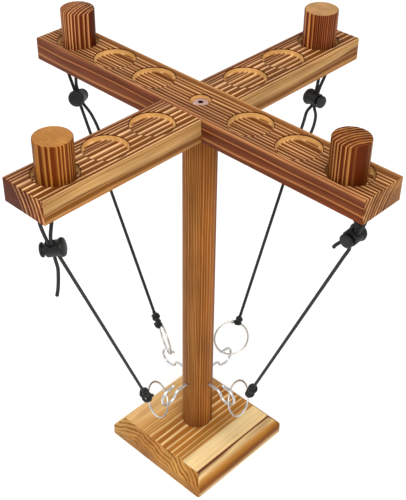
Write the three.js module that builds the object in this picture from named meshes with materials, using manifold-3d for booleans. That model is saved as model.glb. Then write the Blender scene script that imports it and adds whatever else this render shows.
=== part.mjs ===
// Four-player ring toss: a square base, a round post and two crossed bars on top.
// Every arm holds a loose scoring peg in one of its three recesses, a screw eye with a cord,
// a cord lock on that cord, and a metal ring that is caught on a screw hook in the post.
// Millimetres, +Z up. The origin is the centre of the base's underside.
import * as THREE from "three";
import { mergeVertices } from "three/addons/utils/BufferGeometryUtils.js";
import Module from "manifold-3d";

const wasm = await Module();
wasm.setup();

// ---- Driving dimensions ----
const GAP = 0.3; // kept between pieces that touch
const BASE_SIDE = 135;
const BASE_HEIGHT = 24;
const BASE_EDGE = 12; // upright part of the base's edge, below the chamfer
const BASE_CHAMFER = 10; // how far the chamfer runs in
const BASE_CORNER = 3;
const POST_R = 16.5;
const BAR_LENGTH = 400;
const BAR_WIDTH = 50;
const BAR_THICK = 23;
const TOP_Z = 430; // top face of the bars
const UNDER_Z = TOP_Z - BAR_THICK;
const RECESS_R = 20;
const RECESS_DEPTH = 5;
const RECESS_REACH = [59.5, 113, 166.5]; // recess centres, from the post's axis
const PEG_R = 16.5;
const PEG_HEIGHT = 38.5;

// M6 furniture bolts and the insert nuts they turn into
const BOLT_R = 3;
const BOLT_LENGTH = 36;
const BOLT_HEAD_R = 8;
const BOLT_HEAD_HEIGHT = 2.6;
const HEX_R = 2.6;
const HEX_DEPTH = 1.8;
const COUNTERBORE_R = 9.5;
const COUNTERBORE_DEPTH = 5;
const INSERT_R = 4.6;
const INSERT_LENGTH = 16;

// Screw hooks in the post
const HOOK_Z = 88;
const HOOK_WIRE_R = 1.45;
const HOOK_BEND_R = 10.2;
const HOOK_BEND = [43.5, 88.3]; // centre of the bend: out from the post's axis, and height
const HOOK_ROOT = 4; // the buried end's distance from the post's axis

// Screw eyes under the bars
const EYE_REACH = 180;
const EYE_WIRE_R = 1.2;
const EYE_BEND_R = 4.6;
const EYE_NECK = 1.5;
const EYE_SHANK = 12;

// Rings, knots and cord
const RING_R = 19; // to the middle of the wire
const RING_WIRE_R = 1.1;
const CORD_R = 1.6;
const STRAND_SPACING = 3.5; // between the two strands in a cord lock
const STRAND_RISES = [11, 0, -7.5]; // where the strands are held straight, above and below the lock
const LOOP_R = 6.4; // bend of the cord over the eye

// Cord lock: along its own axis, x runs from the button's end to the closed head
const STRAND_X = -1; // middle of the two strands, and of the hole they run through
const LOCK_BARREL_R = 7.2;
const LOCK_HEAD_R = 8.6;
const LOCK_BORE_R = 5;
const LOCK_MOUTH_X = -6.6;
const LOCK_BORE_END_X = 7.8;
const LOCK_HEAD_X = 5.4;
const LOCK_END_X = 9.8;
const LOCK_HOLE_R = 4.1;
const BUTTON_R = 6.6;
const BUTTON_THICK = 2.4;
const BUTTON_TRAVEL = 2.4;
const SHAFT_R = 4.7;
const SLOT_REACH = 3.7; // half the opening that the button leaves for the strands
const SHAFT_END_X = 4.2;
const SPRING_R = 3.4;
const SPRING_WIRE_R = 0.25;
const SPRING_TURNS = 2;

// ---- The four arms ----
// turn: angle of the arm about the post. Pairs are [out from the post's axis, height], and
// triples are [out, sideways, height].
// peg: where the loose peg stands in its recess, out and sideways.
// lock: middle of the strands in the cord lock; lockLean: their lean inwards, degrees;
// lockTurn: the lock's turn about them; strandTurn: 0 where the strands lie one behind the other
// along the lock, -90 where they lie side by side.
// caught: where the ring crosses the hook; ringLean: rise of the ring's middle line from there;
// ringTwist: the ring's turn about that line.
// knot: its middle; knotSize: length and width; lead: the cord's bend between lock and knot.
// tail: the cord's free end, from the cut end to the lock.
const ARMS = [
  {
    name: "right", turn: 0, peg: [165.7, -2.6],
    lock: [175.8, 371], lockLean: 26, lockTurn: -92, strandTurn: -90,
    caught: [46, 83.3], ringLean: 45, ringTwist: 142,
    knot: [75.7, 1, 118.8], knotSize: [22, 11], lead: [[173.6, 0.6, 356.5]],
    tail: [[161.8, -6, 355], [163.8, -5.2, 358.5], [166.4, -3.4, 361.5]],
  },
  {
    name: "back", turn: 90, peg: [166.5, -0.9],
    lock: [169.5, 364], lockLean: 18, lockTurn: -82, strandTurn: 0,
    caught: [42.7, 93.9], ringLean: 55, ringTwist: 140,
    knot: [64.7, 0.3, 127.4], knotSize: [12, 9], lead: [[162.5, 3.4, 351.5]],
    tail: [[152, -8.5, 325], [156, -8.3, 332], [161.5, -7.6, 340.5], [166, -5.2, 349]],
  },
  {
    name: "left", turn: 180, peg: [165.4, -1],
    lock: [171, 366], lockLean: 28, lockTurn: -122, strandTurn: -90,
    caught: [45.1, 94.3], ringLean: 73, ringTwist: 153,
    knot: [58.5, 4, 136], knotSize: [20, 10], lead: [],
    tail: [[143, -7.5, 306], [145.5, -7.5, 317], [149.5, -7.2, 328.5], [154.5, -6, 340.5],
      [160, -4, 351]],
  },
  {
    name: "front", turn: -90, peg: [166.6, 0.7],
    lock: [175.8, 359.5], lockLean: 18, lockTurn: -133, strandTurn: 0,
    caught: [46, 83.2], ringLean: 43, ringTwist: 41,
    knot: [77, 0, 115.3], knotSize: [22, 12], lead: [],
    tail: [[175.5, -1.5, 306.5], [173.6, -1.6, 313], [171.9, -1.7, 325], [171.5, -1.7, 335],
      [173, -1.7, 344]],
  },
];

// ---- Materials ----
const finish = (color, roughness, metalness) =>
  new THREE.MeshStandardMaterial({ color, roughness, metalness });
const UPPER_BAR_WOOD = finish(0x7c4526, 0.45, 0);
const LOWER_BAR_WOOD = finish(0xa9713f, 0.45, 0);
const POST_WOOD = finish(0xa5622f, 0.45, 0);
const BASE_WOOD = finish(0xd09a5c, 0.45, 0);
const PEG_WOOD = finish(0xa96a38, 0.5, 0);
const COPPERED_STEEL = finish(0xb98268, 0.35, 0.9);
const ZINC = finish(0xc9ccd0, 0.25, 1);
const NICKEL = finish(0xbdb9b2, 0.2, 1);
const CORD_BLACK = finish(0x17181a, 0.8, 0);
const PLASTIC_BLACK = finish(0x2a2b2d, 0.55, 0);

// ---- Helpers ----
const rad = THREE.MathUtils.degToRad;
const xyz = (x, y, z) => new THREE.Vector3(x, y, z);

function solid(geometry) {
  const bare = geometry.clone();
  bare.deleteAttribute("normal");
  bare.deleteAttribute("uv");
  const merged = mergeVertices(bare, 1e-4);
  return new wasm.Manifold(
    new wasm.Mesh({
      numProp: 3,
      vertProperties: new Float32Array(merged.attributes.position.array),
      triVerts: new Uint32Array(merged.index.array),
    }),
  );
}

function geometryOf(body) {
  const mesh = body.getMesh();
  const geometry = new THREE.BufferGeometry();
  geometry.setAttribute("position", new THREE.BufferAttribute(mesh.vertProperties, 3));
  geometry.setIndex(new THREE.BufferAttribute(mesh.triVerts, 1));
  return geometry;
}

function cut(from, ...tools) {
  const body = tools.reduce((left, tool) => left.subtract(solid(tool)), solid(from));
  return geometryOf(body);
}

function join(...pieces) {
  return geometryOf(pieces.slice(1).reduce((all, piece) => all.add(solid(piece)), solid(pieces[0])));
}

function mesh(name, geometry, material) {
  const piece = new THREE.Mesh(geometry, material);
  piece.name = name;
  return piece;
}

function block(from, to) {
  const size = xyz(to[0] - from[0], to[1] - from[1], to[2] - from[2]);
  return new THREE.BoxGeometry(size.x, size.y, size.z).translate(
    (from[0] + to[0]) / 2, (from[1] + to[1]) / 2, (from[2] + to[2]) / 2,
  );
}

// A round rod along Z, from one height to another.
function uprightRod(radius, bottom, top, sides = 24, at = [0, 0]) {
  return new THREE.CylinderGeometry(radius, radius, top - bottom, sides)
    .rotateX(Math.PI / 2)
    .translate(at[0], at[1], (bottom + top) / 2);
}

// A solid turned about Z from [radius, height] points that start and end on the axis.
function turned(outline, sides) {
  return new THREE.LatheGeometry(outline.map(([r, z]) => new THREE.Vector2(r, z)), sides).rotateX(
    Math.PI / 2,
  );
}

// A smooth curve through hand-placed points whose steps are even between those points,
// so that the points stand closer together where the bend is tighter.
class Route extends THREE.CatmullRomCurve3 {
  getUtoTmapping(u) {
    return u;
  }
}

function tube(curve, radius, steps, sides) {
  const section = new THREE.Shape();
  for (let i = 0; i <= sides; i += 1) {
    const angle = (2 * Math.PI * i) / sides;
    const [x, y] = [radius * Math.cos(angle), radius * Math.sin(angle)];
    if (i === 0) section.moveTo(x, y);
    else section.lineTo(x, y);
  }
  return new THREE.ExtrudeGeometry(section, { steps, curveSegments: 1, extrudePath: curve });
}

// ---- Base and post ----
function basePlate() {
  const cornerSteps = 4;
  const ring = (inset, z) => {
    const reach = BASE_SIDE / 2 - inset - BASE_CORNER;
    const points = [];
    [[1, 1], [-1, 1], [-1, -1], [1, -1]].forEach(([sx, sy], corner) => {
      for (let i = 0; i <= cornerSteps; i += 1) {
        const angle = (Math.PI / 2) * (corner + i / cornerSteps);
        points.push(
          xyz(sx * reach + BASE_CORNER * Math.cos(angle), sy * reach + BASE_CORNER * Math.sin(angle), z),
        );
      }
    });
    return points;
  };
  const rings = [ring(0, 0), ring(0, BASE_EDGE), ring(BASE_CHAMFER, BASE_HEIGHT)];
  const plate = loft(rings);
  return cut(
    plate,
    uprightRod(COUNTERBORE_R, -1, COUNTERBORE_DEPTH, 24),
    uprightRod(BOLT_R + GAP, -1, BASE_HEIGHT + 1, 16),
  );
}

// A closed solid through rings of points that go round the same way, capped at both ends.
function loft(rings) {
  const count = rings[0].length;
  const positions = rings.flat().flatMap((p) => [p.x, p.y, p.z]);
  const index = [];
  for (let level = 0; level + 1 < rings.length; level += 1) {
    for (let i = 0; i < count; i += 1) {
      const [a, b] = [level * count + i, level * count + ((i + 1) % count)];
      index.push(a, b, b + count, a, b + count, a + count);
    }
  }
  const top = (rings.length - 1) * count;
  for (let i = 1; i + 1 < count; i += 1) {
    index.push(0, i + 1, i);
    index.push(top, top + i, top + i + 1);
  }
  const geometry = new THREE.BufferGeometry();
  geometry.setAttribute("position", new THREE.Float32BufferAttribute(positions, 3));
  geometry.setIndex(index);
  return geometry;
}

const POST_BOTTOM = BASE_HEIGHT + GAP;
const POST_TOP = UNDER_Z - GAP;

function post() {
  const hookBores = ARMS.map(({ turn }) =>
    new THREE.CylinderGeometry(HOOK_WIRE_R + GAP, HOOK_WIRE_R + GAP, POST_R, 12)
      .rotateZ(Math.PI / 2)
      .translate(HOOK_ROOT - GAP + POST_R / 2, 0, HOOK_Z)
      .rotateZ(rad(turn)),
  );
  const insertPocket = INSERT_LENGTH + 1;
  const boltDepth = BOLT_LENGTH;
  return cut(
    uprightRod(POST_R, POST_BOTTOM, POST_TOP, 40),
    uprightRod(INSERT_R + GAP, POST_BOTTOM - 1, POST_BOTTOM + insertPocket),
    uprightRod(INSERT_R + GAP, POST_TOP - insertPocket, POST_TOP + 1),
    uprightRod(BOLT_R + GAP, POST_BOTTOM, POST_BOTTOM + boltDepth, 16),
    uprightRod(BOLT_R + GAP, POST_TOP - boltDepth, POST_TOP, 16),
    ...hookBores,
  );
}

// ---- Crossed bars: half-lapped at the centre, with their tops flush ----
function crossbar(isUpper) {
  const [half, side] = [BAR_LENGTH / 2, BAR_WIDTH / 2];
  const lapZ = TOP_Z - BAR_THICK / 2;
  const lap = side + GAP;
  const notch = isUpper
    ? block([-lap, -side - 1, UNDER_Z - 1], [lap, side + 1, lapZ + GAP / 2])
    : block([-lap, -side - 1, lapZ - GAP / 2], [lap, side + 1, TOP_Z + 1]);
  const cuts = [notch, uprightRod(BOLT_R + GAP, UNDER_Z - 1, TOP_Z + 1, 16)];
  if (isUpper) cuts.push(uprightRod(COUNTERBORE_R, TOP_Z - COUNTERBORE_DEPTH, TOP_Z + 1, 24));
  for (const way of [-1, 1]) {
    for (const reach of RECESS_REACH) {
      cuts.push(uprightRod(RECESS_R, TOP_Z - RECESS_DEPTH, TOP_Z + 1, 32, [way * reach, 0]));
    }
    const pilot = [way * EYE_REACH, 0];
    cuts.push(uprightRod(EYE_WIRE_R + GAP, UNDER_Z - 1, UNDER_Z + EYE_SHANK + GAP, 12, pilot));
  }
  const bar = cut(block([-half, -side, UNDER_Z], [half, side, TOP_Z]), ...cuts);
  return isUpper ? bar : bar.rotateZ(Math.PI / 2);
}

// ---- Fasteners ----
function furnitureBolt() {
  // Head up, with its underside at z = 0.
  const head = turned(
    [[0, 0], [BOLT_HEAD_R - 0.4, 0], [BOLT_HEAD_R, 0.5], [BOLT_HEAD_R, 1.4],
      [BOLT_HEAD_R - 1, BOLT_HEAD_HEIGHT], [0, BOLT_HEAD_HEIGHT]],
    24,
  );
  const socket = uprightRod(HEX_R, BOLT_HEAD_HEIGHT - HEX_DEPTH, BOLT_HEAD_HEIGHT + 1, 6);
  return cut(join(head, uprightRod(BOLT_R, -BOLT_LENGTH, 0.2, 16)), socket);
}

function insertNut() {
  return cut(
    uprightRod(INSERT_R, 0, INSERT_LENGTH, 20),
    uprightRod(BOLT_R + GAP, -1, INSERT_LENGTH + 1, 16),
  );
}

// ---- Pegs ----
function peg() {
  const ease = 0.6;
  return turned(
    [[0, 0], [PEG_R - ease, 0], [PEG_R, ease], [PEG_R, PEG_HEIGHT - ease],
      [PEG_R - ease, PEG_HEIGHT], [0, PEG_HEIGHT]],
    32,
  );
}

// ---- Screw hook: in the arm's frame, x out from the post, z up ----
function screwHook() {
  const bend = (degrees) =>
    xyz(
      HOOK_BEND[0] + HOOK_BEND_R * Math.cos(rad(degrees)), 0,
      HOOK_BEND[1] + HOOK_BEND_R * Math.sin(rad(degrees)),
    );
  const points = [
    xyz(HOOK_ROOT, 0, HOOK_Z), xyz(16, 0, HOOK_Z), xyz(27, 0, HOOK_Z), xyz(30.5, 0, HOOK_Z - 0.3),
    xyz(33.6, 0, HOOK_Z - 2.4),
  ];
  for (let degrees = 222; degrees <= 456; degrees += 26) points.push(bend(degrees));
  points.push(xyz(39, 0, 98.9), xyz(36.6, 0, 99.8));
  return tube(new Route(points), HOOK_WIRE_R, 2 * (points.length - 1), 8);
}

// ---- Screw eye: hangs from the bar's underside, its ring across the arm ----
function screwEye() {
  const centreZ = UNDER_Z - EYE_NECK - EYE_BEND_R - EYE_WIRE_R;
  const ring = new THREE.TorusGeometry(EYE_BEND_R, EYE_WIRE_R, 8, 18)
    .rotateY(Math.PI / 2)
    .translate(EYE_REACH, 0, centreZ);
  const shank = uprightRod(EYE_WIRE_R, centreZ + EYE_BEND_R, UNDER_Z + EYE_SHANK, 12, [EYE_REACH, 0]);
  return join(ring, shank);
}

const EYE_TOP_OF_LOOP = UNDER_Z - EYE_NECK - 2 * EYE_BEND_R + CORD_R + 0.7;

// ---- Rings and knots ----
// The ring's own frame: u runs from its centre to the hook, normal is its axis.
function ringFrame(arm) {
  const lean = rad(arm.ringLean);
  const twist = rad(arm.ringTwist);
  const u = xyz(-Math.cos(lean), 0, -Math.sin(lean));
  const normal = xyz(-Math.sin(twist) * Math.sin(lean), Math.cos(twist), Math.sin(twist) * Math.cos(lean));
  const v = normal.clone().cross(u);
  const caught = xyz(arm.caught[0], 0, arm.caught[1]);
  const centre = caught.clone().addScaledVector(u, -RING_R);
  return { u, v, normal, centre };
}

function ring(arm, wire = RING_WIRE_R, sides = 6, steps = 36) {
  const { u, v, normal, centre } = ringFrame(arm);
  const place = new THREE.Matrix4().makeBasis(u, v, normal).setPosition(centre);
  return new THREE.TorusGeometry(RING_R, wire, sides, steps).applyMatrix4(place);
}

function knotFrame(arm) {
  const middle = xyz(...arm.knot);
  const along = lockFrame(arm).main.at(-1).clone().sub(middle).normalize();
  return { along, middle };
}

function knot(arm) {
  const { along, middle } = knotFrame(arm);
  const [length, width] = arm.knotSize;
  const turn = new THREE.Quaternion().setFromUnitVectors(xyz(0, 0, 1), along);
  const lump = new THREE.SphereGeometry(1, 12, 9)
    .rotateX(Math.PI / 2)
    .scale(width / 2, width / 2, length / 2)
    .applyQuaternion(turn)
    .translate(middle.x, middle.y, middle.z);
  return cut(lump, ring(arm, RING_WIRE_R + GAP + 0.1, 8, 36));
}

// ---- Cord lock ----
// axis runs towards the closed head, up runs up the strands, across is square to both.
function lockFrame(arm) {
  const lean = rad(arm.lockLean);
  const up = xyz(Math.sin(lean), 0, Math.cos(lean));
  const outwards = xyz(Math.cos(lean), 0, -Math.sin(lean));
  const sideways = xyz(0, 1, 0);
  const turn = rad(arm.lockTurn);
  const axis = outwards
    .clone()
    .multiplyScalar(Math.cos(turn))
    .addScaledVector(sideways, -Math.sin(turn));
  const across = up.clone().cross(axis);
  const middle = xyz(arm.lock[0], 0, arm.lock[1]);
  const place = new THREE.Matrix4()
    .makeBasis(axis, across, up)
    .setPosition(middle.clone().addScaledVector(axis, -STRAND_X));
  const apart = axis.clone().applyAxisAngle(up, rad(arm.strandTurn));
  const strand = (side) =>
    STRAND_RISES.map((rise) =>
      middle.clone().addScaledVector(apart, (side * STRAND_SPACING) / 2).addScaledVector(up, rise),
    );
  return { place, axis, up, main: strand(1), tail: strand(-1) };
}

// Lathe profiles of the lock run along its axis: [radius, x], turned about Z, then laid along X.
const alongX = (geometry) => geometry.rotateY(Math.PI / 2);

function lockBody(arm) {
  const shell = alongX(
    turned(
      [[0, LOCK_BORE_END_X], [LOCK_BORE_R, LOCK_BORE_END_X], [LOCK_BORE_R, LOCK_MOUTH_X],
        [LOCK_BARREL_R - 0.4, LOCK_MOUTH_X], [LOCK_BARREL_R, LOCK_MOUTH_X + 0.5],
        [LOCK_BARREL_R, LOCK_HEAD_X - 0.8], [LOCK_HEAD_R - 0.4, LOCK_HEAD_X],
        [LOCK_HEAD_R, LOCK_HEAD_X + 1.4], [LOCK_HEAD_R - 0.7, LOCK_END_X - 0.9],
        [LOCK_HEAD_R - 3, LOCK_END_X], [0, LOCK_END_X]],
      20,
    ),
  );
  const hole = uprightRod(LOCK_HOLE_R, -10, 10, 20, [STRAND_X, 0]);
  return cut(shell, hole).applyMatrix4(lockFrame(arm).place);
}

function lockButton(arm) {
  const face = LOCK_MOUTH_X - BUTTON_TRAVEL - 0.2;
  const turnedPiece = alongX(
    turned(
      [[0, face - BUTTON_THICK], [BUTTON_R - 0.8, face - BUTTON_THICK], [BUTTON_R, face - BUTTON_THICK + 0.7],
        [BUTTON_R, face - 0.4], [BUTTON_R - 0.4, face], [SHAFT_R, face], [SHAFT_R, SHAFT_END_X],
        [0, SHAFT_END_X]],
      16,
    ),
  );
  const slot = block(
    [STRAND_X - SLOT_REACH - BUTTON_TRAVEL, -SLOT_REACH, -10],
    [STRAND_X + SLOT_REACH, SLOT_REACH, 10],
  );
  return cut(turnedPiece, slot).applyMatrix4(lockFrame(arm).place);
}

function lockSpring(arm) {
  const [from, to] = [SHAFT_END_X + SPRING_WIRE_R + GAP, LOCK_BORE_END_X - SPRING_WIRE_R - GAP];
  const stepsPerTurn = 8;
  const count = SPRING_TURNS * stepsPerTurn;
  const points = [];
  for (let i = 0; i <= count; i += 1) {
    const angle = (2 * Math.PI * i) / stepsPerTurn;
    const x = from + ((to - from) * i) / count;
    points.push(xyz(x, SPRING_R * Math.cos(angle), SPRING_R * Math.sin(angle)));
  }
  return tube(new Route(points), SPRING_WIRE_R, count, 5).applyMatrix4(lockFrame(arm).place);
}

// ---- Cord: cut end, up through the lock, over the eye, down through the lock, to the knot ----
function cordPoints(arm) {
  const { main, tail } = lockFrame(arm);
  const top = EYE_TOP_OF_LOOP - LOOP_R;
  // The tail's strand goes up on the outer side where the lock holds it behind the other.
  const side = arm.strandTurn === 0 ? 1 : -1;
  const loop = [0, 36, 72, 108, 144, 180].map((degrees) => {
    const angle = rad(degrees);
    return xyz(EYE_REACH + side * LOOP_R * Math.cos(angle), 0, top + LOOP_R * Math.sin(angle));
  });
  const { along, middle } = knotFrame(arm);
  const knotTop = middle.clone().addScaledVector(along, arm.knotSize[0] / 2 + GAP);
  const lead = arm.lead.map((point) => xyz(...point));
  const runStart = lead.at(-1) ?? main.at(-1);
  const shares = [0.05, 0.15, 0.3, 0.45, 0.6, 0.75, 0.9, 1];
  const run = shares.map((share) => runStart.clone().lerp(knotTop, share));
  return [...arm.tail.map((p) => xyz(...p)), ...[...tail].reverse(), ...loop, ...main, ...lead, ...run];
}

function cord(arm) {
  const points = cordPoints(arm);
  return tube(new Route(points), CORD_R, 2 * (points.length - 1), 8);
}

// ---- Assembly ----
const group = new THREE.Group();
group.add(mesh("base_plate", basePlate(), BASE_WOOD));
group.add(mesh("post", post(), POST_WOOD));
group.add(mesh("crossbar_upper", crossbar(true), UPPER_BAR_WOOD));
group.add(mesh("crossbar_lower", crossbar(false), LOWER_BAR_WOOD));

const topBolt = mesh("top_bolt", furnitureBolt(), COPPERED_STEEL);
topBolt.position.z = TOP_Z - COUNTERBORE_DEPTH + GAP;
const baseBolt = mesh("base_bolt", furnitureBolt(), COPPERED_STEEL);
baseBolt.rotation.x = Math.PI;
baseBolt.position.z = COUNTERBORE_DEPTH - GAP;
const topInsert = mesh("top_insert_nut", insertNut(), ZINC);
topInsert.position.z = POST_TOP - GAP - INSERT_LENGTH;
const bottomInsert = mesh("bottom_insert_nut", insertNut(), ZINC);
bottomInsert.position.z = POST_BOTTOM + GAP;
group.add(topBolt, baseBolt, topInsert, bottomInsert);

for (const arm of ARMS) {
  const armGroup = new THREE.Group();
  armGroup.rotation.z = rad(arm.turn);
  const armPeg = mesh(`peg_${arm.name}`, peg(), PEG_WOOD);
  armPeg.position.set(arm.peg[0], arm.peg[1], TOP_Z - RECESS_DEPTH + GAP);
  armGroup.add(
    armPeg,
    mesh(`screw_eye_${arm.name}`, screwEye(), ZINC),
    mesh(`screw_hook_${arm.name}`, screwHook(), ZINC),
    mesh(`ring_${arm.name}`, ring(arm), NICKEL),
    mesh(`knot_${arm.name}`, knot(arm), CORD_BLACK),
    mesh(`cord_${arm.name}`, cord(arm), CORD_BLACK),
    mesh(`lock_body_${arm.name}`, lockBody(arm), PLASTIC_BLACK),
    mesh(`lock_button_${arm.name}`, lockButton(arm), PLASTIC_BLACK),
    mesh(`lock_spring_${arm.name}`, lockSpring(arm), ZINC),
  );
  group.add(armGroup);
}

export default group;
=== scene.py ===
"""Tabletop ring toss set: the looks of its timber, cords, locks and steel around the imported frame."""

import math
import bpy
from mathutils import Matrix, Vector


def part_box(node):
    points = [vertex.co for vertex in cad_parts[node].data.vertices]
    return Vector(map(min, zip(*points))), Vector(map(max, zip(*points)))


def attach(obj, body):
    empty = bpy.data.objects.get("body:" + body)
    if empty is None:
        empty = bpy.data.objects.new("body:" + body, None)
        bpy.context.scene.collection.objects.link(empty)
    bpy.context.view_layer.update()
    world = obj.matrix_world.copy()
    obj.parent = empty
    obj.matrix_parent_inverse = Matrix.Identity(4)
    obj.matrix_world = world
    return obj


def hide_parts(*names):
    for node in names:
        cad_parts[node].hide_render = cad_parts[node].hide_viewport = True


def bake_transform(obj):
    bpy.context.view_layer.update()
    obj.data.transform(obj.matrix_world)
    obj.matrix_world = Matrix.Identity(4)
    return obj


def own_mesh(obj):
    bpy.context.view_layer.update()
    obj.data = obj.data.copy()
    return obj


bl_info = {
    "name": "Tabletop Ring Toss Set",
    "version": (1, 0, 0),
    "blender": (4, 5, 0),
    "location": "3D View > Sidebar > Ring Toss",
    "description": "Builds a wooden hook-and-ring tabletop game around its packed frame",
    "category": "Object",
}

import bmesh
import bpy
from mathutils import Matrix, Quaternion, Vector

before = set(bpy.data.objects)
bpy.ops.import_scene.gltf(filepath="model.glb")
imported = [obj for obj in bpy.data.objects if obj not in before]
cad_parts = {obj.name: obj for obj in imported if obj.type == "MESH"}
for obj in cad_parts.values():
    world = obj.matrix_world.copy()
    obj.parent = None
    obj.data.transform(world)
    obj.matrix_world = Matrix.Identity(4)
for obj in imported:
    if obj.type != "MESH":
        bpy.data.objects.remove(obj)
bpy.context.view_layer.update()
MM = 0.001
UP = Vector((0, 0, 1))

# ---- Sizes shared with the frame, in millimetres ----
BAR_TOP = 430
BAR_UNDER = 407
BAR_MIDDLE = 418.5
BAR_HALF_LENGTH = 200
BAR_HALF_WIDTH = 25
LAP_HALF = 25.3
LAP_GAP = 0.15
POCKETS = (59.5, 113, 166.5)
POCKET_R = 20
POCKET_DEPTH = 5
POCKET_COVE = 2.2
POCKET_EASE = 0.7
BOLT_POCKET_R = 9.5
PEG_R = 16.5
BOLT_HOLE_R = 3.3
PILOT_R = 1.5
HOOK_Z = 88
HOOK_WIRE_R = 1.45
HOOK_BEND_R = 10.2
HOOK_BEND = (43.5, 88.3)
EYE_REACH = 180
EYE_WIRE_R = 1.2
EYE_BEND_R = 4.6
EYE_MIDDLE_Z = 399.7
EYE_SHANK = 12
RING_R = 19
RING_WIRE_R = 1.1
CORD_R = 1.6
STRAND_SPACING = 3.5
STRAND_RISES = (11, 0, -7.5)
LOOP_R = 6.4
LOOP_MIDDLE_Z = 392.2
STRAND_X = -1
SPRING_R = 3.4
SPRING_WIRE_R = 0.25
SPRING_SPAN = (4.75, 7.25)
KNOT_GAP = 0.3
BRAID_STEP = 0.9
CORD_SIDES = 16
KNOT_SIDES = 12

ARMS = [
    {
        "name": "right", "turn": 0, "lock": (175.8, 371), "lean": 26, "axis": -92, "strands": -90,
        "caught": (46, 83.3), "ring": (45, 142), "knot": (75.7, 1, 118.8), "size": (22, 11),
        "lead": [(173.6, 0.6, 356.5)],
        "tail": [(161.8, -6, 355), (163.8, -5.2, 358.5), (166.4, -3.4, 361.5)],
    },
    {
        "name": "back", "turn": 90, "lock": (169.5, 364), "lean": 18, "axis": -82, "strands": 0,
        "caught": (42.7, 93.9), "ring": (55, 140), "knot": (64.7, 0.3, 127.4), "size": (12, 9),
        "lead": [(162.5, 3.4, 351.5)],
        "tail": [(152, -8.5, 325), (156, -8.3, 332), (161.5, -7.6, 340.5), (166, -5.2, 349)],
    },
    {
        "name": "left", "turn": 180, "lock": (171, 366), "lean": 28, "axis": -122, "strands": -90,
        "caught": (45.1, 94.3), "ring": (73, 153), "knot": (58.5, 4, 136), "size": (20, 10),
        "lead": [],
        "tail": [(143, -7.5, 306), (145.5, -7.5, 317), (149.5, -7.2, 328.5), (154.5, -6, 340.5),
                 (160, -4, 351)],
    },
    {
        "name": "front", "turn": -90, "lock": (175.8, 359.5), "lean": 18, "axis": -133, "strands": 0,
        "caught": (46, 83.2), "ring": (43, 41), "knot": (77, 0, 115.3), "size": (22, 12),
        "lead": [],
        "tail": [(175.5, -1.5, 306.5), (173.6, -1.6, 313), (171.9, -1.7, 325), (171.5, -1.7, 335),
                 (173, -1.7, 344)],
    },
]


# ---- The stage, in millimetres unless said ----
CAMERA_AT = (550.4, -577.6, 874.0)
CAMERA_LOOKS_AT = (13.19, -8.23, 273.38)
CAMERA_LENS = 73.28
CAMERA_SENSOR = 36
CAMERA_ROLL = math.radians(0.81)
LIGHTS = (("key", (900, -750, 1700), 1500, 1.0), ("fill", (-1300, -500, 1100), 1400, 0.3))
LIGHTS_AIM = (0, 0, 250)
FLOOR_HALF = 8000

# ---- Colours and nodes ----
def linear(code):
    """A six-digit sRGB hex colour as linear red, green, blue and alpha."""
    parts = [int(code[i : i + 2], 16) / 255 for i in (1, 3, 5)]
    return (*[c / 12.92 if c <= 0.04045 else ((c + 0.055) / 1.055) ** 2.4 for c in parts], 1.0)


def node(tree, kind, inputs=(), stops=(), **settings):
    """Adds a node, sets it, and links or fills its inputs. Stops are a colour ramp's (place, hex) pairs."""
    made = tree.nodes.new(kind)
    for name, value in settings.items():
        setattr(made, name, value)
    for key, value in dict(inputs).items():
        if isinstance(value, bpy.types.NodeSocket):
            tree.links.new(value, made.inputs[key])
        else:
            made.inputs[key].default_value = value
    for i, (place, code) in enumerate(stops):
        if i < 2:
            made.color_ramp.elements[i].position = place
        stop = made.color_ramp.elements[i] if i < 2 else made.color_ramp.elements.new(place)
        stop.color = linear(code)
    return made


def surface(name):
    """An empty node material with its Principled shader linked to the output."""
    material = bpy.data.materials.new(name)
    material.use_nodes = True
    tree = material.node_tree
    tree.nodes.clear()
    shader = node(tree, "ShaderNodeBsdfPrincipled")
    node(tree, "ShaderNodeOutputMaterial", {"Surface": shader.outputs["BSDF"]})
    return material, tree, shader


def calc(tree, operation, *values):
    """The result of one Math node."""
    return node(tree, "ShaderNodeMath", dict(enumerate(values)), operation=operation).outputs[0]


def ranged(tree, value, low, high, new_low, new_high):
    """A value carried from one range to another and held at its ends."""
    return node(tree, "ShaderNodeMapRange", {
        0: value, 1: low, 2: high, 3: new_low, 4: new_high}).outputs[0]


def blended(tree, share, a, b, how="MIX"):
    """Two colours mixed."""
    return node(tree, "ShaderNodeMix", {0: share, 6: a, 7: b}, data_type="RGBA",
                blend_type=how).outputs[2]


def noise(tree, place, scale, detail=2, **more):
    """Noise from 0 to 1; scale is in cycles for each unit of the place."""
    return node(tree, "ShaderNodeTexNoise", {
        "Vector": place, "Scale": scale, "Detail": detail, **more}).outputs["Fac"]


def finished(tree, shader, colour, roughness, height, strength, distance):
    """Links a material's colour and roughness, and the bump that its height gives."""
    bump = node(tree, "ShaderNodeBump", {"Height": height, "Strength": strength, "Distance": distance})
    tree.links.new(colour, shader.inputs["Base Color"])
    tree.links.new(bump.outputs[0], shader.inputs["Normal"])
    if isinstance(roughness, bpy.types.NodeSocket):
        tree.links.new(roughness, shader.inputs["Roughness"])
    else:
        shader.inputs["Roughness"].default_value = roughness


GRAIN_TURNS = {"x": (0, 0, 0), "y": (0, 0, -math.pi / 2), "z": (0, math.pi / 2, 0)}
UNEVEN_RINGS = 0.7
GROWTH_LINE = [(0, "#FFFFFF"), (1, "#FFFFFF"), (0.14, "#F4F4F4"), (0.3, "#8A8A8A"), (0.5, "#181818"),
               (0.88, "#000000"), (0.95, "#A8A8A8")]


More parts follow.
